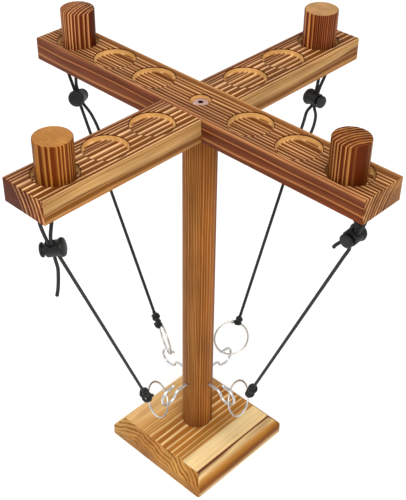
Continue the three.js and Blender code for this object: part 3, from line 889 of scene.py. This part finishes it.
class RINGTOSS_OT_timber(bpy.types.Operator):
    """The two crossbars, the post and the base"""

    bl_idname = "ringtoss.timber"
    bl_label = "Bars, post and base"

    def execute(self, context):
        looks = context.scene.ringtoss_timber
        for which, way in (("upper", 0), ("lower", 1)):
            self.bar(looks, which, way)
        post = timber("carbonised_pine_post", **POST_WOOD_AND_SHADE)
        stands_for(eased_copy("post_turned", "post", looks.edge, [post]), "post")
        base = [timber("carbonised_pine_base", **BASE_WOOD, **BASE_FACE),
                timber("sawn_pine_base", **BASE_WOOD, **BASE_END)]
        made = eased_copy("base_board", "base_plate", looks.edge, base)
        for face in made.data.polygons:
            face.material_index = int(abs(face.normal.y) > 0.5)
        stands_for(made, "base_plate")
        return {"FINISHED"}

    def bar(self, looks, which, way):
        """A crossbar: a board with a lap, pockets and pilot holes cut in; way is 0 along X, 1 along Y."""
        finishes = BAR_LOOKS[which]
        materials = [timber(f"{finish}_pine_{which}_bar", **{**finishes["wood"], **finishes[finish]})
                     for finish in FINISHES]
        half = (BAR_HALF_LENGTH, BAR_HALF_WIDTH) if way == 0 else (BAR_HALF_WIDTH, BAR_HALF_LENGTH)
        board = block_mesh((-half[0], -half[1], BAR_UNDER), (half[0], half[1], BAR_TOP), looks.edge)
        low, high = BAR_UNDER - 1, BAR_TOP + 1
        lap = (low, BAR_MIDDLE + LAP_GAP) if which == "upper" else (BAR_MIDDLE - LAP_GAP, high)
        cutters = [block_mesh((-LAP_HALF, -LAP_HALF, lap[0]), (LAP_HALF, LAP_HALF, lap[1])),
                   self.drill(BOLT_HOLE_R, low, high, (0, 0))]
        if which == "upper":
            cutters.append(self.pocket(BOLT_POCKET_R, (0, 0)))
        for reach in POCKETS:
            for side in (1, -1):
                at = (reach * side, 0) if way == 0 else (0, reach * side)
                cutters.append(self.pocket(POCKET_R, at))
        for reach in (EYE_REACH, -EYE_REACH):
            at = (reach, 0) if way == 0 else (0, reach)
            cutters.append(self.drill(PILOT_R, low, BAR_UNDER + EYE_SHANK + 0.3, at))
        mesh = carved(board, cutters)
        mesh.materials.clear()
        for face in mesh.polygons:
            face.material_index = FINISHES.index(finish_of(face, way))
        made = settle(f"crossbar_{which}_board", mesh, materials, sharp=25)
        stands_for(made, f"crossbar_{which}")

    def drill(self, radius, low, high, at):
        """A cutter for a plain round hole."""
        return lathe_mesh([(0, low), (radius, low), (radius, high), (0, high)], 24, at)

    def pocket(self, radius, at):
        """A cutter for a round pocket in a bar's top: eased rim, and a cove where wall meets floor."""
        ease, cove, floor = POCKET_EASE, POCKET_COVE, BAR_TOP - POCKET_DEPTH
        curve = [(radius - cove + cove * math.sin(a), floor + cove - cove * math.cos(a))
                 for a in (math.radians(degrees) for degrees in (0, 18, 36, 54, 72, 90))]
        rim = [(radius, BAR_TOP - ease), (radius + 0.3 * ease, BAR_TOP - 0.3 * ease),
               (radius + ease, BAR_TOP + 0.01), (radius + ease, BAR_TOP + 1), (0, BAR_TOP + 1)]
        return lathe_mesh([(0, floor), *curve, *rim], 64, at)


PEG_LOOKS = {
    "right": {"heart": (-12, -34), "widths": (3.4, 3.4), "line": "#CC8E4A", "strength": (0.12, 0.95),
              "ground": [(0, "#501C04"), (1, "#3C1404"), (0.5, "#5A2406")], "seed": 1.4, "change": 25},
    "front": {"heart": (16, -9), "widths": (3.0, 3.0), "line": "#DA9444", "strength": (0.9, 0.9),
              "ground": [(0, "#602604"), (1, "#401602"), (0.5, "#6E3008")], "seed": 8.2},
    "left": {"heart": (16, -58), "widths": (3.4, 2.4), "change": 66, "line": "#EAA468",
             "strength": (0.95, 0.95), "seed": 4.9,
             "ground": [(0, "#5C240A"), (1, "#2E0E06"), (0.6, "#561F06"), (0.82, "#38120A")]},
    "back": {"heart": (20, -45), "widths": (1.9, 4.2), "change": 56, "line": "#D88E4E",
             "strength": (0.4, 1.0), "sway": 2.4, "seed": 6.6,
             "ground": [(0, "#5A200A"), (1, "#3A140A"), (0.5, "#5A2614")]},
}
PEG_TOPS = {
    "front": {"heart": (-30, -56), "widths": (1.7, 1.7), "line": "#D09858", "strength": (0.8, 0.8),
              "ground": [(0, "#94602A"), (1, "#A06A32")]},
    "back": {"widths": (1.2, 1.2), "line": "#D4AC7A", "strength": (0.7, 0.7),
             "ground": [(0, "#A07446"), (1, "#A87C4C")]},
}


class RINGTOSS_OT_pegs(bpy.types.Operator):
    """The four loose pegs that stand in the outer recesses"""

    bl_idname = "ringtoss.pegs"
    bl_label = "Pegs"

    def execute(self, context):
        looks = context.scene.ringtoss_timber
        for name, wood in PEG_LOOKS.items():
            low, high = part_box("peg_" + name)
            centre = (low + high) / (2 * MM)
            materials = [timber(f"carbonised_pine_peg_{name}", "z", centre, PEG_R, **wood)]
            if name in PEG_TOPS:
                materials.append(timber(f"sanded_pine_peg_{name}", "z", centre, PEG_R,
                                        **{**wood, **PEG_TOPS[name]}))
            made = eased_copy("peg_turned_" + name, "peg_" + name, looks.peg_edge, materials, sharp=30)
            for face in made.data.polygons:
                face.material_index = int(face.normal.z > 0.95 and name in PEG_TOPS)
            stands_for(made, "peg_" + name, "peg_" + name)
        return {"FINISHED"}


class RINGTOSS_OT_wires(bpy.types.Operator):
    """Screw hooks, screw eyes and welded rings"""

    bl_idname = "ringtoss.wires"
    bl_label = "Hooks, eyes and rings"

    def execute(self, context):
        looks = context.scene.ringtoss_steel
        zinc = plated_steel("bright_zinc_plated_steel", tuple(looks.zinc), 0.3, 0.02)
        nickel = plated_steel("nickel_plated_steel", tuple(looks.nickel), 0.27, 0.02)
        for arm in ARMS:
            name = arm["name"]
            stands_for(wires("hook_bent_" + name, self.hook(arm), 16, zinc), "screw_hook_" + name)
            stands_for(wires("eye_bent_" + name, self.eye(arm), 14, zinc), "screw_eye_" + name)
            stands_for(wires("ring_welded_" + name, self.ring(arm), 14, nickel), "ring_" + name,
                       "ring_" + name)
        return {"FINISHED"}

    def hook(self, arm):
        """Straight shank from the post, a dip, and three quarters of a turn, with a screw thread."""
        x, z = HOOK_BEND
        points = [(4, 0, HOOK_Z), (16, 0, HOOK_Z), (27, 0, HOOK_Z), (30.5, 0, HOOK_Z - 0.3),
                  (33.6, 0, HOOK_Z - 2.4)]
        points += [(x + HOOK_BEND_R * math.cos(a), 0, z + HOOK_BEND_R * math.sin(a))
                   for a in (math.radians(degrees) for degrees in range(222, 457, 26))]
        points += [(39, 0, 98.9), (36.6, 0, 99.8)]
        line = route([Vector(p) for p in points], 6)
        thread = helix(Vector((4.6, 0, HOOK_Z)), Vector((1, 0, 0)), HOOK_WIRE_R * 0.96, 1.25, 8)
        return [(in_row(arm, line), HOOK_WIRE_R * MM, False), (in_row(arm, thread), 0.00022, False)]

    def eye(self, arm):
        """A closed eye under the bar with its threaded shank."""
        steps = 48
        loop = [
            Vector((EYE_REACH, EYE_BEND_R * math.cos(2 * math.pi * i / steps),
                    EYE_MIDDLE_Z + EYE_BEND_R * math.sin(2 * math.pi * i / steps)))
            for i in range(steps)
        ]
        shank = [Vector((EYE_REACH, 0, z)) for z in (EYE_MIDDLE_Z + EYE_BEND_R, BAR_UNDER + EYE_SHANK)]
        thread = helix(Vector((EYE_REACH, 0, BAR_UNDER + 1)), UP, EYE_WIRE_R * 0.95, 1.1, 9)
        return [(in_row(arm, loop), EYE_WIRE_R * MM, True), (in_row(arm, shank), EYE_WIRE_R * MM, False),
                (in_row(arm, thread), 0.0002, False)]

    def ring(self, arm):
        """A welded ring of round wire."""
        centre, u, v = ring_frame(arm)
        steps = 96
        loop = [
            centre + (u * math.cos(a) + v * math.sin(a)) * RING_R
            for a in (2 * math.pi * i / steps for i in range(steps))
        ]
        return [(in_row(arm, loop), RING_WIRE_R * MM, True)]


class RINGTOSS_OT_locks(bpy.types.Operator):
    """Spring cord locks: moulded body, push button and spring"""

    bl_idname = "ringtoss.locks"
    bl_label = "Cord locks"

    def execute(self, context):
        looks = context.scene.ringtoss_lock
        plastic = moulded_plastic("moulded_acetal_black", looks.colour)
        spring_steel = plated_steel("spring_wire_zinc", linear("#BEC0C2"), 0.3, 0.2)
        for arm in ARMS:
            name = arm["name"]
            body = eased_copy("lock_shell_" + name, "lock_body_" + name, looks.edge, [plastic], sharp=28)
            stands_for(body, "lock_body_" + name, "lock_" + name)
            button = eased_copy("lock_plunger_" + name, "lock_button_" + name, looks.edge, [plastic],
                                sharp=28)
            stands_for(button, "lock_button_" + name, "lock_button_" + name)
            self.spring(arm, spring_steel)
        return {"FINISHED"}

    def spring(self, arm, steel):
        """The coil between the button's shaft and the closed head."""
        middle, axis, up, _ = lock_frame(arm)
        origin = middle - axis * STRAND_X
        low, high = SPRING_SPAN
        coil = helix(origin + axis * low, axis, SPRING_R, (high - low) / 2, 2, 24)
        name = arm["name"]
        made = wires("lock_coil_" + name, [(in_row(arm, coil), SPRING_WIRE_R * MM, False)], 8, steel)
        stands_for(made, "lock_spring_" + name, "lock_" + name)
        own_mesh(made)


class RINGTOSS_OT_fixings(bpy.types.Operator):
    """Furniture bolts with hex sockets, and the threaded inserts in the post"""

    bl_idname = "ringtoss.fixings"
    bl_label = "Bolts and inserts"

    def execute(self, context):
        looks = context.scene.ringtoss_steel
        copper = plated_steel("copper_washed_steel", tuple(looks.copper), 0.34, 0.3)
        zinc = bpy.data.materials["bright_zinc_plated_steel"]
        # The hex socket gets a dark colour: painted shade inside the recess.
        socket = plated_steel("painted_shade_hex_socket", linear("#2A1414"), 0.5, 0.3)
        for which in ("top", "base"):
            made = eased_copy(which + "_bolt_cap", which + "_bolt", 0.00025, [copper, socket], sharp=28)
            heights = [v.co.z for v in made.data.vertices if v.co.xy.length > 0.006]
            # Faces of the socket's walls and floor take the painted shade.
            for face in made.data.polygons:
                near = all(made.data.vertices[i].co.xy.length < 0.0028 for i in face.vertices)
                face.material_index = int(near and min(heights) <= face.center.z <= max(heights))
            stands_for(made, which + "_bolt")
        for which in ("top", "bottom"):
            made = eased_copy(which + "_insert", which + "_insert_nut", 0.0002, [zinc], sharp=28)
            stands_for(made, which + "_insert_nut")
        return {"FINISHED"}


class RINGTOSS_PT_panel(bpy.types.Panel):
    """Builds the set piece by piece"""

    bl_idname = "RINGTOSS_PT_panel"
    bl_label = "Ring Toss Set"
    bl_space_type = "VIEW_3D"
    bl_region_type = "UI"
    bl_category = "Ring Toss"

    def draw(self, context):
        for operator in OPERATORS:
            self.layout.operator(operator.bl_idname)
        for name, group in GROUPS.items():
            for field in group.__annotations__:
                self.layout.prop(getattr(context.scene, name), field)


OPERATORS = [RINGTOSS_OT_stage, RINGTOSS_OT_cords, RINGTOSS_OT_timber, RINGTOSS_OT_pegs, RINGTOSS_OT_wires,
             RINGTOSS_OT_locks, RINGTOSS_OT_fixings]
GROUPS = {"ringtoss_timber": RINGTOSS_PG_timber, "ringtoss_cord": RINGTOSS_PG_cord,
          "ringtoss_steel": RINGTOSS_PG_steel, "ringtoss_lock": RINGTOSS_PG_lock,
          "ringtoss_stage": RINGTOSS_PG_stage}


def register():
    for made in (*GROUPS.values(), *OPERATORS, RINGTOSS_PT_panel):
        bpy.utils.register_class(made)
    for name, group in GROUPS.items():
        setattr(bpy.types.Scene, name, bpy.props.PointerProperty(type=group))


def unregister():
    for name in GROUPS:
        delattr(bpy.types.Scene, name)
    for made in (RINGTOSS_PT_panel, *reversed(OPERATORS), *reversed(list(GROUPS.values()))):
        bpy.utils.unregister_class(made)


def main():
    """Registers the add-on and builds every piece."""
    register()
    for operator in OPERATORS:
        group, action = operator.bl_idname.split(".")
        getattr(getattr(bpy.ops, group), action)()
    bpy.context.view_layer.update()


if __name__ == "__main__":
    main()
